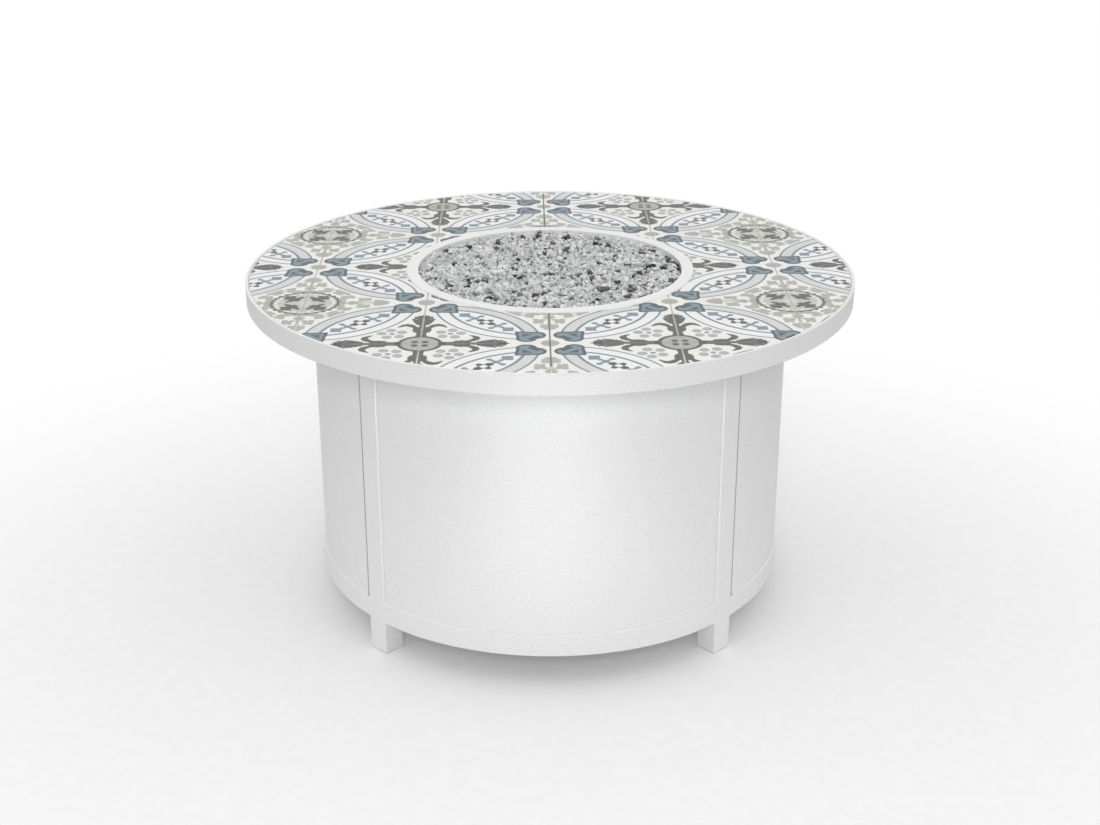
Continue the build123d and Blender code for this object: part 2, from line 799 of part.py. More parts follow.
# Heat shield between the burner and the gas bottle space
with BuildPart() as heat_shield:
    with BuildSketch(Plane.XZ):
        with BuildLine():
            Polyline(
                (0, shield_top),
                (shield_radius - shield_thickness, shield_top),
                (shield_radius - shield_thickness, shield_top + shield_rim_height),
                (shield_radius, shield_top + shield_rim_height),
                (shield_radius, shield_top - shield_thickness),
                (0, shield_top - shield_thickness),
                close=True,
            )
        make_face()
    revolve(axis=Axis.Z)
keep(heat_shield, "heat_shield")

with BuildPart() as shield_standoffs:
    with BuildSketch(level(shield_top)):
        with PolarLocations(standoff_circle_radius, standoff_count):
            RegularPolygon(standoff_radius, 6)
    extrude(amount=shield_drop)
keep(shield_standoffs, "shield_standoffs")

# Spark electrode and thermocouple, side by side through a hat-shaped bracket
hat_plane = outward(hat_azimuth, ignition_radius - hat_depth / 2, 0)
hat_low = pan_floor + hat_thickness / 2
hat_high = hat_low + hat_height
with BuildPart() as ignition_bracket:
    with BuildSketch(hat_plane):
        with BuildLine():
            FilletPolyline(
                (-hat_half_width - hat_foot_width, hat_low),
                (-hat_half_width, hat_low),
                (-hat_half_width, hat_high),
                (hat_half_width, hat_high),
                (hat_half_width, hat_low),
                (hat_half_width + hat_foot_width, hat_low),
                radius=hat_bend_radius,
            )
        trace(line_width=hat_thickness)
    extrude(amount=hat_depth)
    with BuildSketch(level(hat_high)):
        with Locations(ignition_place(spark_azimuth)):
            Circle(insulator_radius + running_gap)
        with Locations(ignition_place(thermocouple_azimuth)):
            Circle(thermocouple_radius + running_gap)
    extrude(amount=hat_thickness, both=True, mode=Mode.SUBTRACT)
keep(ignition_bracket, "ignition_bracket")

with BuildPart() as spark_insulator:
    with BuildSketch(level(pan_base - insulator_drop)):
        with Locations(ignition_place(spark_azimuth)):
            Circle(insulator_radius)
    extrude(amount=insulator_drop + pan_thickness + insulator_rise)
keep(spark_insulator, "spark_insulator")

with BuildPart() as spark_rod:
    with BuildSketch(level(pan_floor + insulator_rise)):
        with Locations(ignition_place(spark_azimuth)):
            Circle(spark_rod_radius)
    extrude(amount=spark_rod_rise)
keep(spark_rod, "spark_rod")

with BuildPart() as thermocouple:
    with BuildSketch(level(pan_base - thermocouple_drop)):
        with Locations(ignition_place(thermocouple_azimuth)):
            Circle(thermocouple_radius)
    extrude(amount=thermocouple_drop + pan_thickness + thermocouple_rise)
    fillet(thermocouple.edges().group_by(Axis.Z)[-1], thermocouple_radius / 2)
keep(thermocouple, "thermocouple")

# Fire glass: fills the pan round the burner and heaps up to a low crown, with larger lumps that stand out of it
glass_low_radius = pan_radius - pan_thickness - fit_gap
glass_radius = collar_inner_radius - fit_gap
glass_step = backer_base + pan_thickness + fit_gap
glass_edge = collar_top - glass_drop
burner_groove = burner_tube_radius + fit_gap
with BuildPart() as fire_glass:
    with BuildSketch(Plane.XZ):
        with BuildLine():
            Polyline(
                (0, glass_edge + glass_crown),
                (0, pan_floor + fit_gap),
                (glass_low_radius - pan_bend_radius, pan_floor + fit_gap),
                (glass_low_radius, pan_floor + fit_gap + pan_bend_radius),
                (glass_low_radius, glass_step),
                (glass_radius, glass_step),
                (glass_radius, glass_edge),
            )
            TangentArc((0, glass_edge + glass_crown), (glass_radius, glass_edge), tangent=(1, 0))
        make_face()
    revolve(axis=Axis.Z)
    for ring in range(lump_ring_count + 1):
        ring_radius = ring * lump_spacing_share * glass_radius
        glass_level = glass_edge + glass_crown * (1 - (ring_radius / glass_radius) ** 2)
        with BuildSketch(level(glass_level - lump_sink, ring * lump_turn)):
            with PolarLocations(ring_radius, max(1, 6 * ring)):
                RegularPolygon(lump_radius, 5 + ring % 2)
        extrude(amount=lump_sink + lump_rise, taper=lump_taper)
    with BuildSketch(level(pan_floor)):
        Circle(burner_radius + burner_groove)
        Circle(burner_radius - burner_groove, mode=Mode.SUBTRACT)
        Rectangle(2 * burner_radius, 2 * burner_groove)
        Circle(burner_hub_radius + fit_gap)
    extrude(amount=burner_lift + burner_groove, mode=Mode.SUBTRACT)
    with BuildSketch(level(pan_floor, hat_azimuth)):
        with Locations((ignition_radius, 0)):
            Rectangle(hat_depth + 2 * fit_gap, 2 * (hat_half_width + hat_foot_width + fit_gap))
    extrude(amount=insulator_rise + spark_rod_rise + fit_gap, mode=Mode.SUBTRACT)
keep(fire_glass, "fire_glass")

# Control bracket: a bent plate on the inner face of the rear right post
with BuildPart() as control_bracket:
    with BuildSketch(level(bracket_base)):
        with BuildLine():
            FilletPolyline(
                (wing_x, wing_y),
                (bend_x, bend_y),
                (bend_x - bracket_length, bend_y),
                radius=bracket_bend_radius,
            )
        trace(line_width=bracket_thickness)
    extrude(amount=bracket_height)
    with BuildSketch(Plane((0, face_y, control_height), x_dir=(-1, 0, 0), z_dir=(0, 1, 0))):
        with Locations((-valve_x, 0)):
            Circle(valve_bonnet_radius + fit_gap)
        with Locations((-igniter_x, 0)):
            Circle(igniter_radius + fit_gap)
    extrude(amount=-bracket_thickness, mode=Mode.SUBTRACT)
    for plane in bracket_screw_planes:
        with BuildSketch(plane):
            Circle(bracket_screw_radius + fit_gap)
        extrude(amount=-bracket_thickness - overrun, mode=Mode.SUBTRACT)
keep(control_bracket, "control_bracket")

with BuildPart() as bracket_screws:
    for plane in bracket_screw_planes:
        with BuildSketch(plane.offset(-bracket_thickness)):
            Circle(bracket_screw_radius)
        extrude(amount=bracket_thickness + bracket_screw_reach)
        with BuildSketch(plane.offset(-bracket_thickness)):
            Circle(bracket_screw_head_radius)
        extrude(amount=-bracket_screw_head_height)
keep(bracket_screws, "bracket_screws")


def facing_rear(x, y):
    """A plane at control height that faces the rear."""
    return Plane((x, y, control_height), x_dir=(-1, 0, 0), z_dir=(0, 1, 0))


def valve_level(height):
    """A horizontal plane on the gas axis of the valve, measured from control height."""
    return Plane((valve_x, valve_y, control_height + height), x_dir=(1, 0, 0), z_dir=(0, 0, 1))


# Gas valve with its fittings
with BuildPart() as gas_valve:
    with BuildSketch(facing_rear(valve_x, back_y)):
        Circle(valve_barrel_radius)
    extrude(amount=-valve_depth - valve_barrel_tail)
    with BuildSketch(valve_level(0)):
        Circle(valve_column_radius)
    extrude(amount=valve_column_half_height, both=True)
    with BuildSketch(facing_rear(valve_x, back_y)):
        Circle(valve_bonnet_radius)
    extrude(amount=bracket_thickness + valve_bonnet_reach)
    with BuildSketch(Plane((port_x, port_y, control_height))):
        Circle(valve_port_radius)
    extrude(amount=valve_barrel_radius + valve_port_rise)
    with BuildSketch(facing_rear(valve_x, face_y + valve_bonnet_reach)):
        Circle(spindle_radius + running_gap)
    extrude(amount=-valve_bore_depth, mode=Mode.SUBTRACT)
keep(gas_valve, "gas_valve")

with BuildPart() as valve_nut:
    with BuildSketch(facing_rear(valve_x, face_y)):
        RegularPolygon(valve_nut_radius, 6)
        Circle(valve_bonnet_radius + running_gap, mode=Mode.SUBTRACT)
    extrude(amount=valve_nut_height)
keep(valve_nut, "valve_nut")

outlet_top = valve_column_half_height + fitting_hex_height + outlet_neck_length
with BuildPart() as outlet_fitting:
    with BuildSketch(valve_level(valve_column_half_height)):
        RegularPolygon(fitting_hex_radius, 6)
    extrude(amount=fitting_hex_height)
    with BuildSketch(valve_level(valve_column_half_height + fitting_hex_height)):
        Circle(outlet_neck_radius)
    extrude(amount=outlet_neck_length)
keep(outlet_fitting, "outlet_fitting")

inlet_neck_top = -valve_column_half_height - fitting_hex_height
with BuildPart() as inlet_fitting:
    with BuildSketch(valve_level(-valve_column_half_height)):
        RegularPolygon(fitting_hex_radius, 6)
    extrude(amount=-fitting_hex_height)
    with BuildSketch(valve_level(inlet_neck_top)):
        Circle(inlet_neck_radius)
    extrude(amount=-inlet_neck_length)
    with BuildSketch(valve_level(inlet_neck_top - inlet_neck_length)):
        Circle(inlet_neck_radius)
    extrude(amount=-inlet_cone_length, taper=quarter_turn / 2)
    with BuildSketch(valve_level(inlet_neck_top - inlet_neck_length - inlet_cone_length)):
        Circle(inlet_neck_radius - inlet_cone_length - fit_gap)
    extrude(amount=inlet_neck_length + inlet_cone_length, mode=Mode.SUBTRACT)
keep(inlet_fitting, "inlet_fitting")

# Feed tube from the valve to the mixer, bent in one upright plane
mixer_end = elbow_branch_length + mixer_length
with BuildPart() as feed_tube:
    with BuildLine(upright(feed_azimuth)):
        FilletPolyline(
            (hypot(valve_x, valve_y), control_height + outlet_top),
            (hypot(valve_x, valve_y), feed_axis),
            (mixer_end, feed_axis),
            radius=feed_bend_radius,
        )
    with BuildSketch(valve_level(outlet_top)):
        Circle(feed_radius)
    sweep()
keep(feed_tube, "feed_tube")


def make_lead(azimuth, start, drop, radius):
    """A lead that rises, runs in under the pan and turns up to its electrode."""
    reach = hypot(start[0], start[1])
    with BuildPart() as lead:
        with BuildLine(upright(azimuth)):
            FilletPolyline(
                (reach, start[2]),
                (reach, lead_axis),
                (ignition_radius, lead_axis),
                (ignition_radius, pan_base - drop),
                radius=lead_bend_radius,
            )
        with BuildSketch(Plane(start)):
            Circle(radius)
        sweep()
    return lead


igniter_stub_top = control_height + igniter_radius + igniter_stub_rise
spark_start = (igniter_x, igniter_stub_y, igniter_stub_top)
keep(make_lead(spark_azimuth, spark_start, insulator_drop, lead_radius), "spark_lead")
port_start = (port_x, port_y, control_height + valve_barrel_radius + valve_port_rise)
thermocouple_lead = make_lead(thermocouple_azimuth, port_start, thermocouple_drop, thermocouple_lead_radius)
keep(thermocouple_lead, "thermocouple_lead")

# Control knob: the washer rides in with the push, the spindle and knob also turn
washer_y = face_y + valve_bonnet_reach + washer_clearance + knob_travel
with BuildPart() as push_washer:
    with BuildSketch(facing_rear(valve_x, washer_y)):
        Circle(washer_radius)
        Circle(spindle_radius + running_gap, mode=Mode.SUBTRACT)
    extrude(amount=washer_thickness)
keep(push_washer, "push_washer")

knob_y = washer_y + washer_thickness + knob_seat_gap
spindle_y = face_y + valve_bonnet_reach - spindle_tail
with BuildPart() as valve_spindle:
    with BuildSketch(facing_rear(valve_x, spindle_y)):
        Circle(spindle_radius)
    extrude(amount=knob_y + knob_bore_depth - spindle_y)
keep(valve_spindle, "valve_spindle")

with BuildPart() as control_knob:
    with BuildSketch(facing_rear(valve_x, knob_y)):
        Circle(knob_radius)
    extrude(amount=knob_skirt_thickness)
    with BuildSketch(facing_rear(valve_x, knob_y + knob_skirt_thickness)):
        Circle(knob_grip_radius)
        with PolarLocations(knob_grip_radius, knob_flute_count):
            Circle(knob_flute_radius, mode=Mode.SUBTRACT)
    extrude(amount=knob_grip_length)
    fillet(control_knob.faces().sort_by(Axis.Y)[-1].edges(), knob_edge_radius)
    with BuildSketch(facing_rear(valve_x, knob_y)):
        Circle(spindle_radius + running_gap)
    extrude(amount=knob_bore_depth + fit_gap, mode=Mode.SUBTRACT)
keep(control_knob, "control_knob")

# Igniter: a barrel clamped in the bracket with a spring push button in its mouth
with BuildPart() as igniter_body:
    with BuildSketch(facing_rear(igniter_x, face_y)):
        Circle(igniter_radius)
    extrude(amount=-igniter_length)
    with BuildSketch(facing_rear(igniter_x, face_y)):
        Circle(igniter_flange_radius)
    extrude(amount=igniter_flange_thickness)
    with BuildSketch(Plane((igniter_x, igniter_stub_y, control_height))):
        Circle(igniter_stub_radius)
    extrude(amount=igniter_radius + igniter_stub_rise)
    with BuildSketch(facing_rear(igniter_x, face_y + igniter_flange_thickness)):
        Circle(button_radius + button_gap)
    extrude(amount=-igniter_bore_depth, mode=Mode.SUBTRACT)
keep(igniter_body, "igniter_body")

with BuildPart() as igniter_nut:
    with BuildSketch(facing_rear(igniter_x, back_y)):
        RegularPolygon(igniter_nut_radius, 6)
        Circle(igniter_radius + running_gap, mode=Mode.SUBTRACT)
    extrude(amount=-igniter_nut_height)
keep(igniter_nut, "igniter_nut")

with BuildPart() as igniter_button:
    with BuildSketch(facing_rear(igniter_x, face_y + igniter_flange_thickness - button_tail)):
        Circle(button_radius)
    extrude(amount=button_tail + button_proud)
    fillet(igniter_button.edges().group_by(Axis.Y)[-1], button_edge_radius)
keep(igniter_button, "igniter_button")
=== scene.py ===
# %% [markdown]
# # A round fire pit table
# A white powder coated drum on four posts carries a round tiled top, and a burner full of broken glass sits in the
# middle. The metalwork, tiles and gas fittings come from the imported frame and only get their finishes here. The loose
# glass is the one piece that is built again, because a heap of chips is what the eye goes to first.

# %% Load the frame
import itertools
import json
import math
import random

import bmesh
import bpy
from mathutils import Euler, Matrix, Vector


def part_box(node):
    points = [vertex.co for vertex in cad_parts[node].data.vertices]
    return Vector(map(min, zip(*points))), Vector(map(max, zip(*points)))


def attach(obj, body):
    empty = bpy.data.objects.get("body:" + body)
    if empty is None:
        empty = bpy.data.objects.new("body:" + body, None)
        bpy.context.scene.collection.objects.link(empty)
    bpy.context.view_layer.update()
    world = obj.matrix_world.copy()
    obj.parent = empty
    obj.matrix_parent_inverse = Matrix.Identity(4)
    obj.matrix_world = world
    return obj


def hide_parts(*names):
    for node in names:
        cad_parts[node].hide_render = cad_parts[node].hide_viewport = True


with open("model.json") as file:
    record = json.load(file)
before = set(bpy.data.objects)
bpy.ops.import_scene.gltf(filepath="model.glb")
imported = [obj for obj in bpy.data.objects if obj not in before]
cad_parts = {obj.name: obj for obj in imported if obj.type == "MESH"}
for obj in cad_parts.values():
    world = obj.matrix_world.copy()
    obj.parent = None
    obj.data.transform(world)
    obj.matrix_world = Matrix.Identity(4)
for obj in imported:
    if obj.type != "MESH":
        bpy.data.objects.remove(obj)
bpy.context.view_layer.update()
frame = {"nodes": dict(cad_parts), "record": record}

pieces = frame["nodes"]
scene = bpy.context.scene
scene.view_settings.view_transform = "Standard"

# %% [markdown]
# The picture was taken from a little above the table, standing about three metres away. The rim and the collar are
# circles, so their ellipses fix how high the camera stood and how far its lens zoomed in, and no shift is needed.

# %% Camera
camera_data = bpy.data.cameras.new("camera")
camera_data.sensor_width = 36.0
camera_data.lens = 53.77
camera = bpy.data.objects.new("camera", camera_data)
camera.location = (0.0, -2.7973, 1.4679)
camera.rotation_euler = (math.radians(67.793), 0.0, 0.0)
scene.collection.objects.link(camera)
scene.camera = camera
print("camera at", tuple(round(v, 3) for v in camera.location))

# %% [markdown]
# Colours are easiest to judge as screen values from 0 to 255, but shaders work with linear light, so one helper turns
# one into the other.


# %% Colour helper
def tint(red, green, blue):
    """A screen colour as the linear colour that a shader socket takes."""
    def linear(value):
        share = value / 255
        return share / 12.92 if share <= 0.04045 else ((share + 0.055) / 1.055) ** 2.4
    return (linear(red), linear(green), linear(blue), 1.0)


print("mid grey is", round(tint(128, 128, 128)[0], 3), "in linear light")

# %% [markdown]
# A finish is worked out by nodes. Adding each node by hand makes long code, so a finish has one method that adds any
# node, and a wire wraps a node's output: arithmetic on wires adds Math nodes, or Vector Math nodes where one of them
# is a vector. A pattern then reads like the formula that draws it. Ink turns the distance from a shape into a mask
# with a soft edge.


# %% Finishes and wires
class Wire:
    """An output of a node; Python's operators on it add the nodes that work out the result."""

    def __init__(self, finish, socket):
        self.finish, self.socket = finish, socket

    def work(self, operation, *terms):
        vector = any(isinstance(term, Wire) and term.socket.type == "VECTOR" for term in terms)
        kind = "ShaderNodeVectorMath" if vector else "ShaderNodeMath"
        return self.finish.add(kind, {"operation": operation}, dict(enumerate(terms)))

    def output(self, name):
        return Wire(self.finish, self.socket.node.outputs[name])

    def __add__(self, other):
        return self.work("ADD", self, other)

    def __sub__(self, other):
        return self.work("SUBTRACT", self, other)

    def __rsub__(self, other):
        return self.work("SUBTRACT", other, self)

    def __mul__(self, other):
        return self.work("MULTIPLY", self, other)

    def __mod__(self, other):
        return self.work("FLOORED_MODULO", self, other)

    def __abs__(self):
        return self.work("ABSOLUTE", self)


class Finish:
    """A material, or the world, whose nodes are added one by one and end in its shader."""

    def __init__(self, name, world=False):
        self.block = (bpy.data.worlds if world else bpy.data.materials).new(name)
        self.block.use_nodes = True
        self.tree = self.block.node_tree
        self.shader = self.tree.nodes["Background" if world else "Principled BSDF"]

    def fill(self, node, values):
        live = [socket for socket in node.inputs if socket.enabled]
        for key, value in values.items():
            socket = live[key] if isinstance(key, int) else next(s for s in live if s.name == key)
            if isinstance(value, Wire):
                self.tree.links.new(value.socket, socket)
            else:
                flat = socket.type == "VECTOR" and not hasattr(value, "__len__")
                socket.default_value = (value,) * 3 if flat else value

    def add(self, kind, settings=None, values=None):
        node = self.tree.nodes.new(kind)
        for name, setting in (settings or {}).items():
            if name == "stops":
                while len(node.color_ramp.elements) < len(setting):
                    node.color_ramp.elements.new(1.0)
                for stop, (at, colour) in zip(node.color_ramp.elements, setting):
                    stop.position, stop.color = at, colour
            else:
                setattr(node, name, setting)
        self.fill(node, values or {})
        return Wire(self, next(socket for socket in node.outputs if socket.enabled))

    def surface(self, values):
        self.fill(self.shader, values)

    def place(self):
        return self.add("ShaderNodeTexCoord").output("Object")

    def noise(self, place, scale, detail=2.0):
        return self.add("ShaderNodeTexNoise", None, {"Vector": place, "Scale": scale, "Detail": detail}).output("Fac")

    def mix(self, share, below, above):
        return self.add("ShaderNodeMix", {"data_type": "RGBA"}, {"Factor": share, "A": below, "B": above})

    def ramp(self, share, *stops):
        return self.add("ShaderNodeValToRGB", {"stops": stops}, {"Fac": share})

    def bump(self, height, depth, strength):
        return self.add("ShaderNodeBump", None, {"Height": height, "Distance": depth, "Strength": strength})


def least(*wires):
    """The smallest of some wires: the outline of shapes laid together."""
    result = wires[0]
    for wire in wires[1:]:
        result = result.work("MINIMUM", result, wire)
    return result


def most(*wires):
    """The largest of some wires: the outline of what shapes have in common."""
    result = wires[0]
    for wire in wires[1:]:
        result = result.work("MAXIMUM", result, wire)
    return result


def ink(gap, edge=0.007):
    """A mask that is 1 inside a shape and fades over its edge."""
    return gap.finish.add("ShaderNodeMath", {"operation": "MULTIPLY_ADD", "use_clamp": True},
                          {0: gap, 1: -1.0 / edge, 2: 0.5})


finishes = {}
diagonal = math.sqrt(0.5)  # how far a unit step along a diagonal goes along each side
print("finish tools ready")

# %% [markdown]
# Powder coat is paint sprayed on as dry powder and baked, which leaves a fine pebbled skin. Close to, each pebble
# catches a little light and the white looks faintly speckled. Two sizes of noise make the skin: one for the pebbles,
# which also feeds the bump and paints that light into the colour as tiny painted glints and shade, and a broad one
# for the slow unevenness of a sprayed coat. A side panel tucks in behind its posts, and the shade in that corner is a
# thin grey line in the picture, so the line is drawn along those edges as painted shade.

# %% White powder coat
coat = Finish("white_powder_coat")
coat_spot = coat.place()
pebbles = coat.noise(coat_spot, 620.0, 3.0)
drift = coat.noise(coat_spot, 7.0)
# painted glints: each pebble is painted paler or darker for the light it catches
pebble_glint_speckle = coat.ramp(pebbles, (0.30, tint(226, 226, 226)), (0.46, tint(240, 240, 240)), (0.75, tint(246, 246, 246)))
skin = coat.mix(drift * 0.12, pebble_glint_speckle, tint(232, 232, 232))
post_half, shade_half, shade_edge = 0.020, 0.0029, 0.0008
panel_radius, panel_margin = 0.4195, 0.003
across = coat.add("ShaderNodeSeparateXYZ", None, {0: coat_spot})
past_post = (abs(across) - abs(across.output("Y"))) * diagonal - post_half
level = coat_spot * (1.0, 1.0, 0.0)
on_panel = abs(level.work("LENGTH", level) - panel_radius) - panel_margin
shade = ink(most(abs(past_post - shade_half) - shade_half, on_panel), shade_edge)
coat.surface({
    "Base Color": coat.mix(shade, skin, tint(168, 168, 168)),
    "Roughness": pebbles * 0.24 + 0.32,
    "Normal": coat.bump(pebbles, 0.0004, 0.5),
    "Specular IOR Level": 0.4,
})
finishes["white_powder_coat"] = coat
print("powder coat with", len(coat.tree.nodes), "nodes")

# %% [markdown]
# The top is laid with printed tiles, and four of them make one repeat of an old encaustic style of pattern: crosses of
# leaves, leafy rosettes, and pointed lens shapes that run between them with a heart at each end. An image could carry
# it, but the drawing is regular, so the shader draws it: the repeat is folded along its mirror lines until one small
# triangle is left, and that triangle is drawn with circles and arcs.

# %% Fold the repeat
tile_pitch = 0.202325
tile_turn = math.radians(0.9)
tile_shift = (-0.0061, 0.0084, 0.0)
tile = Finish("patterned_tile")
grid = tile.add("ShaderNodeMapping", {"vector_type": "TEXTURE"}, {
    "Vector": tile.place(), "Location": tile_shift, "Rotation": (0, 0, tile_turn), "Scale": tile_pitch})
column = tile.add("ShaderNodeSeparateXYZ", None, {0: grid})
side = abs((column + 1.0) % 2.0 - 1.0)
deep = abs((column.output("Y") + 1.0) % 2.0 - 1.0)
right = most(side, 1.0 - deep)
up = most(deep, 1.0 - side)
spot = tile.add("ShaderNodeCombineXYZ", None, {0: right, 1: up})
along = (right + up - 1.0) * diagonal
off = abs(up - right) * diagonal
lens_spot = tile.add("ShaderNodeCombineXYZ", None, {0: along, 1: off})
print("one repeat is", 2 * tile_pitch, "m wide")

# %% [markdown]
# Two small tools draw everything. Blobs are circles laid together, which is how leaves, petals and dots are built, and
# paint lays one colour over the last through an ink mask.


# %% Drawing tools
def blobs(point, *circles):
    """How far a point lies outside some circles laid together, each an x, a y and a radius."""
    return least(*[point.work("DISTANCE", point, (x, y, 0.0)) - radius for x, y, radius in circles])


def paint(below, gap, colour):
    """The drawing so far with a shape laid over it in one colour."""
    return below.finish.mix(ink(gap), below, colour)


beige, charcoal = tint(178, 178, 170), tint(86, 88, 85)
slate, dusk = tint(124, 145, 158), tint(78, 87, 88)
chalk = tint(240, 241, 239)
print("inks ready")

# %% [markdown]
# The ground is a warm white with a faint cloud in it, as a glaze has. Round spots mark every second corner, and the
# rosette stands at another: a ring of leaves with buds and ivy leaves growing out of it along the joints.

# %% Ground, spots and rosettes
cloud = tile.noise(tile.place(), 26.0)
drawing = tile.ramp(cloud, (0.30, tint(236, 236, 231)), (0.70, tint(241, 241, 237)))
rosette_x, rosette_y = 0.0, 1.0


def from_rosette(*circles):
    """Circles given from the rosette's middle, along its branch and across it."""
    return [(rosette_x + far, rosette_y - wide, radius) for far, wide, radius in circles]


stem = most(1.0 - up - 0.013, right - 0.60)
foliage = blobs(spot, (1.0, 1.0, 0.070), *from_rosette(
    (0.606, 0.016, 0.046), (0.590, 0.052, 0.026), (0.628, 0.050, 0.024), (0.660, 0.022, 0.028), (0.682, 0.000, 0.018),
    (0.485, 0.085, 0.043), (0.450, 0.106, 0.025), (0.522, 0.104, 0.024), (0.455, 0.048, 0.024), (0.528, 0.058, 0.018),
    (0.300, 0.030, 0.040), (0.302, 0.095, 0.038), (0.312, 0.150, 0.036), (0.350, 0.160, 0.044), (0.385, 0.140, 0.022),
    (0.280, 0.250, 0.050), (0.330, 0.240, 0.024), (0.318, 0.200, 0.026), (0.385, 0.020, 0.030), (0.420, 0.010, 0.024)))
drawing = paint(drawing, least(foliage, stem), beige)
drawing = paint(drawing, blobs(spot, *from_rosette(
    (0.366, 0.070, 0.024), (0.342, 0.058, 0.016), (0.392, 0.084, 0.014), (0.322, 0.196, 0.012))), chalk)
ring = spot.work("DISTANCE", spot, (rosette_x, rosette_y, 0.0))
drawing = paint(drawing, ring - 0.275, tint(198, 199, 192))
beads = blobs(spot, *from_rosette((0.272, 0.048, 0.019), (0.250, 0.120, 0.019), (0.220, 0.172, 0.021)))
drawing = paint(drawing, least(abs(ring - 0.272) - 0.010, beads), tint(98, 99, 93))
drawing = paint(drawing, blobs(spot, *from_rosette(
    (0.226, 0.060, 0.016), (0.206, 0.112, 0.016), (0.236, 0.010, 0.012), (0.304, 0.212, 0.014))), chalk)
leaves = blobs(spot, *from_rosette(
    (0.138, 0.130, 0.040), (0.172, 0.112, 0.021), (0.170, 0.160, 0.018), (0.107, 0.080, 0.031), (0.128, 0.056, 0.025),
    (0.150, 0.038, 0.018), (0.078, 0.062, 0.018)))
drawing = paint(drawing, leaves, tint(90, 91, 86))
drawing = paint(drawing, right + (1.0 - up) - 0.070, tint(214, 214, 208))
print("rosettes drawn")

# %% [markdown]
# The cross has four oak leaf arms that meet in a small four hole button, with a hook on each side of an arm and a
# five petal flower in each corner. Only half of one arm is drawn, since the fold repeats it eight times.

# %% Crosses and flowers


def from_cross(*circles):
    """Circles given from the cross's middle, along its arm and across it."""
    return [(1.0 - wide, far, radius) for far, wide, radius in circles]


flower = spot.work("DISTANCE", spot, (1.0 - 0.227, 0.227, 0.0))
button = spot.work("DISTANCE", spot, (1.0, 0.0, 0.0))
petals = blobs(spot, *from_cross((0.168, 0.168, 0.039), (0.265, 0.153, 0.040), (0.309, 0.240, 0.040)))
drawing = paint(drawing, petals, beige)
drawing = paint(drawing, flower - 0.034, chalk)
drawing = paint(drawing, flower - 0.022, tint(128, 152, 176))
arm = blobs(spot, *from_cross(
    (0.355, 0.040, 0.034), (0.320, 0.040, 0.036), (0.290, 0.034, 0.036), (0.268, 0.018, 0.030),
    (0.465, 0.022, 0.032), (0.495, 0.036, 0.034), (0.530, 0.050, 0.032), (0.550, 0.064, 0.023), (0.576, 0.077, 0.017),
    (0.604, 0.050, 0.024), (0.626, 0.062, 0.016), (0.648, 0.036, 0.017), (0.545, 0.010, 0.052), (0.600, 0.008, 0.044),
    (0.636, 0.014, 0.026), (0.660, 0.012, 0.014), (0.682, 0.000, 0.010),
    (0.385, 0.062, 0.022), (0.405, 0.076, 0.027), (0.424, 0.096, 0.030), (0.434, 0.120, 0.029),
    (0.430, 0.142, 0.025), (0.414, 0.162, 0.019), (0.396, 0.178, 0.013), (0.382, 0.188, 0.008)))
shaft = most(1.0 - right - 0.026, up - 0.60, 0.165 - up)
neck = least(most(0.188 - flower, button - 0.262), button - 0.176)
drawing = paint(drawing, least(arm, shaft, neck), charcoal)
drawing = paint(drawing, most(1.0 - right - 0.011, up - 0.60, 0.20 - up), tint(132, 134, 131))
drawing = paint(drawing, button - 0.144, beige)
drawing = paint(drawing, blobs(spot, *from_cross((0.040, 0.040, 0.027))), charcoal)
print("crosses drawn")

# %% [markdown]
# A lens is the space between two arcs, edged by a grey band on the rosette's side and a white one on the cross's side,
# each between thin blue lines. Little flowers stand along its middle, and a blue heart covers each end, where the
# bands meet.

# %% Lens shapes and hearts
grey_arc = spot.work("DISTANCE", spot, (0.918, 0.082, 0.0))
white_arc = spot.work("DISTANCE", spot, (0.082, 0.918, 0.0))
inside = most(grey_arc - 0.85, white_arc - 0.85, along - 0.47)
drawing = paint(drawing, inside, tint(241, 241, 239))
grey_band = most(abs(grey_arc - 0.79) - 0.06, inside)
drawing = paint(drawing, grey_band, tint(215, 216, 212))
lines = least(abs(grey_arc - 0.845), abs(grey_arc - 0.735), abs(white_arc - 0.845), abs(white_arc - 0.735)) - 0.0125
drawing = paint(drawing, most(lines, inside), tint(116, 137, 150))
links = most(abs((along + off) - 0.054) - 0.010, along - 0.054)
dots = least(blobs(lens_spot, (0.060, 0.0, 0.032), (0.0, 0.050, 0.025)), links)
drawing = paint(drawing, dots, tint(78, 78, 75))
twigs = most(abs(along - 0.130) - 0.014, off - 0.070)
fleurette = blobs(lens_spot, (0.131, 0.0, 0.030), (0.129, 0.073, 0.024), (0.095, 0.0, 0.015), (0.180, 0.0, 0.020))
pincushion = (abs(along - 0.248) + off) * diagonal - 0.046 + blobs(lens_spot, (0.248, 0.0, 0.0)) * 0.05
drawing = paint(drawing, least(fleurette, twigs, pincushion), slate)
toward = diagonal - along
farther, nearer = (toward + off) * diagonal, (toward - off) * diagonal
bow = 0.268 - nearer
heart = least(blobs(lens_spot, (0.5006, 0.051, 0.079)), most(farther - 0.268 + bow * bow * 0.7, 0.11 - nearer))
drawing = paint(drawing, heart, slate)
drawing = paint(drawing, abs(heart + 0.010) - 0.013, dusk)
points = most(farther - 0.214, 0.245 - toward)
notch = most(toward - 0.198, off - 0.055, heart)
drawing = paint(drawing, least(points, notch), dusk)
print("tile drawing with", len(tile.tree.nodes), "nodes")

# %% [markdown]
# The glaze over the print is satin, not glossy, and not quite flat: a slow ripple in the bump breaks up reflections,
# and the roughness changes a little from place to place.

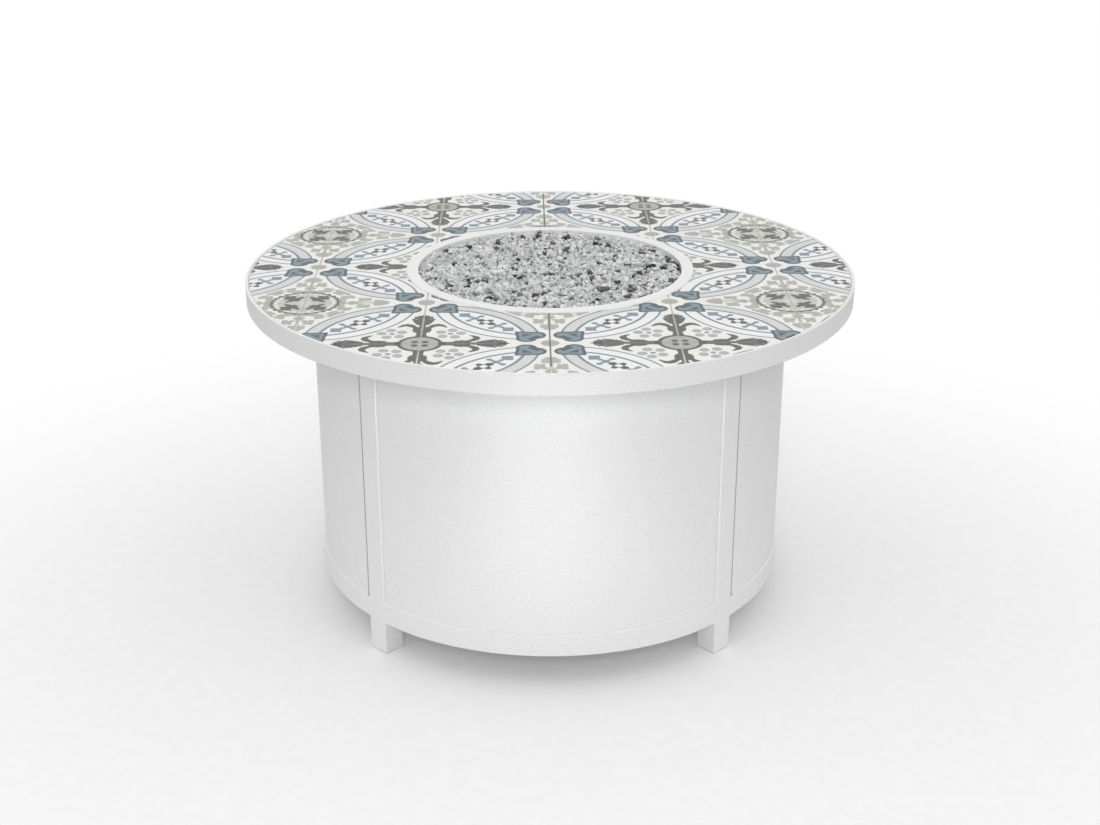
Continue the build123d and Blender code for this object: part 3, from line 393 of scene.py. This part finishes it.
# %% Tile glaze
ripple = tile.noise(tile.place(), 90.0, 3.0)
tile.surface({"Base Color": drawing, "Roughness": ripple * 0.16 + 0.34, "Normal": tile.bump(ripple, 0.0003, 0.35),
              "Specular IOR Level": 0.4})
finishes["patterned_tile"] = tile
print("tile finish ready")

# %% [markdown]
# Grout is cement and fine sand, so its colour is grainy at about half a millimetre and it has no gloss. The joint
# across the middle was filled darker than the rest. The joint along the rim is painted paler, as painted light that
# lifts the shade in the gap there. Backer board is the same stuff pressed around a glass mesh, which shows as a weave
# on its face and speckle on its edge.

# %% Grout and backer board
grout = Finish("grout")
sand = grout.noise(grout.place(), 1500.0)
damp = grout.noise(grout.place(), 30.0)
pale = grout.ramp(sand, (0.35, tint(192, 192, 187)), (0.7, tint(212, 212, 207)))
dark = grout.ramp(sand, (0.35, tint(118, 118, 116)), (0.7, tint(142, 142, 139)))
joint_half, joint_edge, seam_radius, seam_edge = 0.004, 0.002, 0.505, 0.004
joints = grout.add("ShaderNodeMapping", {"vector_type": "TEXTURE"}, {
    "Vector": grout.place(), "Location": tile_shift, "Rotation": (0, 0, tile_turn)})
middle_joint = ink(abs(grout.add("ShaderNodeSeparateXYZ", None, {0: joints})) - joint_half, joint_edge)
flat_joints = joints * (1.0, 1.0, 0.0)
# painted light: the joint along the rim is painted paler, which lifts the shade in its gap
rim_joint_painted_light = ink(seam_radius - flat_joints.work("LENGTH", flat_joints), seam_edge)
cement = grout.mix(rim_joint_painted_light, grout.mix(middle_joint, pale, dark), tint(228, 228, 224))
grout.surface({"Base Color": grout.mix(damp * 0.2, cement, tint(176, 176, 172)),
               "Roughness": sand * 0.1 + 0.85, "Normal": grout.bump(sand, 0.0004, 0.8)})
finishes["grout"] = grout

board = Finish("backer")
board_spot = board.place()
threads = {"Vector": board_spot, "Scale": 55.0, "Distortion": 0.4}
mesh_x = board.add("ShaderNodeTexWave", {"bands_direction": "X"}, threads)
mesh_y = board.add("ShaderNodeTexWave", {"bands_direction": "Y"}, threads)
weave = most(mesh_x.output("Fac"), mesh_y.output("Fac"))
flecks = board.noise(board_spot, 420.0, 4.0)
pressed = board.ramp(flecks, (0.3, tint(140, 138, 132)), (0.7, tint(176, 174, 167)))
board.surface({"Base Color": board.mix(weave * 0.25, pressed, tint(120, 118, 113)),
               "Roughness": flecks * 0.1 + 0.84, "Normal": board.bump(weave * 0.6 + flecks * 0.4, 0.0005, 0.5)})
finishes["backer"] = board
print("grout and backer board ready")

# %% [markdown]
# Bare metal is told apart by its marks. Sheet that was rolled or brushed has long fine scratches, so its noise is
# stretched along one direction. Zinc plate has a pale bluish bloom, and turned brass has rings and a little tarnish.
# One function makes all of them from a few numbers.


# %% Metals
def metal(name, bright, dull, stretch, grain, rough, tarnish=0.25):
    """A bare metal: two tones, the stretch and size of its scratches, and how rough it is."""
    finish = Finish(name)
    here = finish.place()
    scratch = finish.noise(here * stretch, grain, 3.0)
    stain = finish.noise(here, 38.0, 4.0)
    tone = finish.ramp(scratch, (0.25, dull), (0.75, bright))
    stained = tuple(0.72 * value for value in dull[:3]) + (1.0,)
    finish.surface({
        "Base Color": finish.mix(stain * tarnish, tone, stained),
        "Metallic": 1.0,
        "Roughness": scratch * 0.16 + (stain * 0.12 + rough),
        "Normal": finish.bump(scratch, 0.0001, 0.25),
    })
    finishes[name] = finish


metal("bare_aluminium", tint(214, 216, 218), tint(186, 188, 191), (1.0, 0.04, 1.0), 900.0, 0.30)
metal("stainless", tint(208, 207, 204), tint(172, 171, 169), (0.05, 0.05, 1.0), 1400.0, 0.22)
metal("zinc_steel", tint(200, 203, 207), tint(164, 168, 175), (1.0, 1.0, 1.0), 320.0, 0.34, 0.4)
metal("brass", tint(226, 192, 116), tint(188, 150, 78), (0.15, 0.15, 1.0), 1600.0, 0.24, 0.35)
metal("copper_sheath", tint(222, 156, 122), tint(176, 108, 78), (0.1, 0.1, 1.0), 1500.0, 0.28, 0.45)
print("metals:", [name for name in finishes if finishes[name].shader.inputs["Metallic"].default_value == 1.0])

# %% [markdown]
# The knob, igniter, glides, lead sleeve and magnet are moulded. Moulded plastic copies the grain of its tool, so it
# has a fine even bump and a satin sheen, and rubber is duller with a little dust on it. Porcelain is smooth and glossy
# with a few pinholes.


# %% Moulded pieces
def moulded(name, body, worn, grain, rough, depth):
    """A plastic, rubber or fired piece: its colour, its rubbed colour, and the size and depth of its grain."""
    finish = Finish(name)
    here = finish.place()
    pores = finish.noise(here, grain)
    dust = finish.noise(here, 60.0, 3.0)
    finish.surface({
        "Base Color": finish.mix(finish.ramp(dust, (0.45, (0, 0, 0, 1)), (0.8, (1, 1, 1, 1))), body, worn),
        "Roughness": pores * 0.18 + rough,
        "Normal": finish.bump(pores, depth, 0.5),
    })
    finishes[name] = finish


moulded("black_plastic", tint(34, 34, 36), tint(58, 58, 60), 1500.0, 0.38, 0.0002)
moulded("glide_plastic", tint(226, 226, 223), tint(204, 204, 200), 1200.0, 0.42, 0.0002)
moulded("porcelain", tint(236, 232, 222), tint(224, 216, 200), 300.0, 0.12, 0.00005)
moulded("lead_sleeve", tint(132, 40, 34), tint(150, 70, 62), 900.0, 0.62, 0.0002)
moulded("magnet", tint(62, 62, 64), tint(84, 84, 86), 800.0, 0.50, 0.0002)
print(len(finishes), "finishes so far")

# %% [markdown]
# Fire glass is sheet glass that was tempered, smashed and tumbled: lumps about a centimetre across with flat bright
# faces. Most are clear or milky, and some are smoke coloured or black. A bumpy sheet would look like gravel, so real
# lumps are heaped here: each is a small block with its corners knocked about, and its glass is one of six tones.

# %% Glass tones
glass_tones = [  # name, colour, how clear, share of the heap
    ("glass_clear", tint(226, 229, 229), 0.22, 0.38),
    ("glass_milky", tint(237, 237, 236), 0.10, 0.22),
    ("glass_pale_grey", tint(204, 206, 206), 0.15, 0.28),
    ("glass_grey", tint(166, 168, 169), 0.15, 0.06),
    ("glass_smoke", tint(96, 98, 100), 0.10, 0.03),
    ("glass_black", tint(34, 35, 37), 0.0, 0.03),
]
bed_tone, smoke_tone, black_tone = 2, 4, 5
glass_finishes = []
for name, colour, clear, share in glass_tones:
    glass = Finish(name)
    glass.surface({"Base Color": colour, "Roughness": 0.06, "Transmission Weight": clear, "IOR": 1.5,
                   "Coat Weight": 0.6, "Coat Roughness": 0.03})
    glass_finishes.append(glass)
finishes["fire_glass"] = glass_finishes[0]
print(len(glass_finishes), "glass tones")

# %% [markdown]
# The heap fills the pan and rises a little in the middle. Lumps stand on a jittered grid in two layers with random
# size, turn and height, over a rough bed that hides the pan. All of them go into one mesh, and a fixed seed gives the
# same heap every time.

# %% Heap of glass
dice = random.Random(7)
low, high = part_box("fire_glass")
bed_radius = (high[0] - low[0]) / 2 - 0.0015
surface_drop, crown, mound_rise, mound_reach = 0.0025, 0.002, 0.003, 0.021
mounds, mound_rings, mound_step = [(0.0, 0.0)], 4, 0.215 * bed_radius
for ring_index in range(1, mound_rings + 1):
    ring_radius, ring_turn, in_ring = mound_step * ring_index, math.radians(23.0 * ring_index), 6 * ring_index
    for spoke in range(in_ring):
        way = ring_turn + math.tau * spoke / in_ring
        mounds.append((ring_radius * math.cos(way), ring_radius * math.sin(way)))


def glass_height(x, y):
    """Where the heap's surface lies: a low crown with a low mound at the middle and at each point of a few rings."""
    near = min(math.hypot(x - mound_x, y - mound_y) for mound_x, mound_y in mounds)
    mound = mound_rise * max(0.0, 1.0 - (near / mound_reach) ** 2)
    return high[2] - surface_drop - crown * (x * x + y * y) / bed_radius ** 2 + mound


def lump_hull(half=0.4, knock=0.16):
    """One broken lump about a unit across, as its corners and its faces."""
    shape = bmesh.new()
    for corner in itertools.product((-half, half), repeat=3):
        shape.verts.new([value + dice.uniform(-knock, knock) for value in corner])
    hull = bmesh.ops.convex_hull(shape, input=shape.verts)
    bmesh.ops.delete(shape, geom=hull["geom_interior"], context="VERTS")
    shape.verts.index_update()
    hull_corners = [vert.co.copy() for vert in shape.verts]
    hull_faces = [[vert.index for vert in face.verts] for face in shape.faces]
    shape.free()
    return hull_corners, hull_faces


lump_kinds, lump_sizes, dark_growth = 14, (0.005, 0.006, 0.007, 0.008, 0.010), 1.35
lumps = [lump_hull() for _ in range(lump_kinds)]
corners, faces, tones = [], [], []
shares = [share for *_, share in glass_tones]
layer_sinks, spacing, jitter, lift, black_lift = (0.0065, 0.0022), 0.0062, 0.45, 0.002, 0.0015
wall_share, clear_tilt, dark_tilt = 0.35, 0.8, 0.4
steps = int(bed_radius / spacing) + 1
for layer, sink in enumerate(layer_sinks):
    for i in range(-steps, steps + 1):
        for j in range(-steps, steps + 1):
            x = (i + dice.uniform(-jitter, jitter) + 0.5 * (layer + j % 2)) * spacing
            y = (j + dice.uniform(-jitter, jitter)) * spacing
            size = dice.choice(lump_sizes)
            tone = dice.choices(range(len(shares)), shares)[0]
            size *= dark_growth if tone >= smoke_tone else 1.0
            if math.hypot(x, y) > bed_radius - size * wall_share:
                continue
            tilt = dark_tilt if tone >= smoke_tone else clear_tilt
            turn = Euler((dice.uniform(-tilt, tilt), dice.uniform(-tilt, tilt), dice.uniform(0, 6.28))).to_matrix()
            stretch = Vector((1.0, dice.uniform(0.7, 1.0), dice.uniform(0.45, 0.8))) * size
            rise = dice.uniform(-lift, lift) + (black_lift if tone == black_tone else 0.0)
            middle = Vector((x, y, glass_height(x, y) - sink + rise))
            lump_corners, lump_faces = dice.choice(lumps)
            first = len(corners)
            corners += [turn @ Vector(c * s for c, s in zip(corner, stretch)) + middle for corner in lump_corners]
            faces += [[first + index for index in face] for face in lump_faces]
            tones += [tone] * len(lump_faces)
print(len(tones), "glass faces")

# %% [markdown]
# Under the lumps lies a bed that closes the gaps between them. It is a fan of rings, each corner pushed up or down a
# little, in the grey of glass seen through glass.

# %% Bed under the lumps
bed_start, bed_depth, rings, spokes = len(corners), 0.009, 14, 72
corners.append(Vector((0, 0, glass_height(0, 0) - bed_depth)))
for ring_index in range(1, rings + 1):
    ring_radius = bed_radius * ring_index / rings
    for spoke in range(spokes):
        way = math.tau * spoke / spokes
        x, y = ring_radius * math.cos(way), ring_radius * math.sin(way)
        corners.append(Vector((x, y, glass_height(x, y) - bed_depth + dice.uniform(-lift, lift))))
for spoke in range(spokes):
    after = (spoke + 1) % spokes
    faces.append([bed_start, bed_start + 1 + spoke, bed_start + 1 + after])
    for ring_index in range(rings - 1):
        inner = bed_start + 1 + ring_index * spokes
        faces.append([inner + spoke, inner + spokes + spoke, inner + spokes + after, inner + after])
tones += [bed_tone] * (len(faces) - len(tones))
heap_mesh = bpy.data.meshes.new("fire_glass_chips")
heap_mesh.from_pydata(corners, [], faces)
for glass in glass_finishes:
    heap_mesh.materials.append(glass.block)
heap_mesh.polygons.foreach_set("material_index", tones)
heap_mesh.update()
heap = bpy.data.objects.new("fire_glass_chips", heap_mesh)
scene.collection.objects.link(heap)
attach(heap, "base")
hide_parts("fire_glass")
print("heap of", len(faces), "faces")

# %% [markdown]
# Every piece of the frame names its finish in the record, so dressing it is one loop.

# %% Dress the frame
worn_by = {}
for entry in frame["record"]["subparts"]:
    piece, finish = pieces[entry["node"]], finishes[entry["material_slot"]]
    for slot in piece.material_slots:
        slot.material = finish.block
    worn_by.setdefault(entry["material_slot"], []).append(entry["node"])
print({name: len(nodes) for name, nodes in worn_by.items()})

# %% [markdown]
# The table stands on a white studio sweep. Near the table the floor is a plain matt surface that keeps the soft
# shadow, with a little painted white light over it for the camera that lifts that shadow, and further off it turns
# into pure white for the camera, so no horizon shows. Light that bounces off the floor comes mostly from near the
# table, which leaves the rim a little darker than the drum. A bright card lies in front of the table where only
# reflections find it, and gives the drum its sheen.

# %% Floor
floor_mesh = bpy.data.meshes.new("floor")
sweep = bmesh.new()
bmesh.ops.create_circle(sweep, cap_ends=True, segments=96, radius=9.0)
sweep.to_mesh(floor_mesh)
sweep.free()
floor = bpy.data.objects.new("floor", floor_mesh)
floor.location.z = -0.0005
scene.collection.objects.link(floor)
sheet = Finish("studio_floor")
floor_spot = sheet.place()
paper = sheet.noise(floor_spot, 40.0)
near = sheet.ramp(paper, (0.3, tint(243, 243, 243)), (0.7, tint(246, 246, 246)))
floor_rays = sheet.add("ShaderNodeLightPath")
from_middle = floor_spot + (0.0, 0.28, 0.0)  # the pool of floor around the table lies a little to the front
reach = from_middle.work("LENGTH", from_middle)
far = sheet.add("ShaderNodeMapRange", None, {"Value": reach, "From Min": 1.4, "From Max": 2.0})
least_dim = 0.17
dim = (far * (1.0 - least_dim) + least_dim) * floor_rays.output("Is Diffuse Ray")
sheet.surface({"Base Color": sheet.mix(dim, near, tint(20, 20, 20)), "Roughness": 0.9, "Specular IOR Level": 0.1})
print("floor of", len(floor_mesh.polygons), "face")

# %% [markdown]
# The white that the camera sees and the card that reflections see are two emissions, each mixed over the floor by a
# mask.

# %% White distance and card
fade = sheet.add("ShaderNodeMapRange", {"interpolation_type": "SMOOTHSTEP"},
                 {"Value": reach, "From Min": 0.65, "From Max": 1.85})
# painted light: even near the table this share of white glows for the camera and lifts the floor's shadow
painted_shadow_lift = 0.14
whiten = (fade * (1.0 - painted_shadow_lift) + painted_shadow_lift) * most(
    floor_rays.output("Is Camera Ray"), floor_rays.output("Is Transmission Ray"))
white = sheet.add("ShaderNodeEmission", None, {"Color": (1, 1, 1, 1), "Strength": 1.0})
blend = sheet.add("ShaderNodeMixShader", None, {0: whiten, 2: white})
sheet.tree.links.new(sheet.shader.outputs[0], blend.socket.node.inputs[1])
card_ahead, card_half_width, card_half_depth, card_edge = 1.77, 0.45, 0.9, 0.6
aside = sheet.add("ShaderNodeSeparateXYZ", None, {0: floor_spot})
card = ink(most(abs(aside) - card_half_width, abs(aside.output("Y") + card_ahead) - card_half_depth), card_edge)
glare = sheet.add("ShaderNodeEmission", None, {"Color": (1, 1, 1, 1), "Strength": 11.0})
mirrored = sheet.add("ShaderNodeMixShader", None, {0: card * floor_rays.output("Is Glossy Ray"), 1: blend, 2: glare})
sheet.tree.links.new(mirrored.socket, sheet.tree.nodes["Material Output"].inputs["Surface"])
floor_mesh.materials.append(sheet.block)
print("floor finish with", len(sheet.tree.nodes), "nodes")

# %% [markdown]
# The light is soft: a white room that is bright overhead, at the back and on both sides, and one large panel high
# behind the camera. The room looks pure white to the camera and to reflections, but lights the table less.

# %% Light
room = Finish("studio", world=True)
scene.world = room.block
sky = room.add("ShaderNodeTexCoord").output("Generated")
compass = room.add("ShaderNodeSeparateXYZ", None, {0: sky})
height = most(compass.output("Z"), 0.0)
beside = compass * compass
behind = most(compass.output("Y"), 0.0)
overhead_glow, horizon_glow, side_glow, back_glow = 1.05, 0.12, 0.72, 0.5
glow = height * height * overhead_glow + horizon_glow + beside * beside * side_glow + behind * behind * back_glow
rays = room.add("ShaderNodeLightPath")
seen = most(rays.output("Is Camera Ray"), rays.output("Is Glossy Ray"), rays.output("Is Transmission Ray"))
room.surface({"Color": (1.0, 1.0, 1.0, 1.0), "Strength": glow + (1.0 - glow) * seen})

panel = bpy.data.lights.new("front_panel_light", "AREA")
panel.shape, panel.size, panel.size_y, panel.energy = "RECTANGLE", 1.65, 1.65, 127.0
lamp = bpy.data.objects.new("front_panel_light", panel)
lamp.location = (0.0, -5.5, 3.0)
drum_middle = Vector((0.0, 0.0, 0.35))
lamp.rotation_euler = (drum_middle - lamp.location).to_track_quat("-Z", "Y").to_euler()
lamp.visible_glossy = False
scene.collection.objects.link(lamp)
print("light of", panel.energy, "watts")
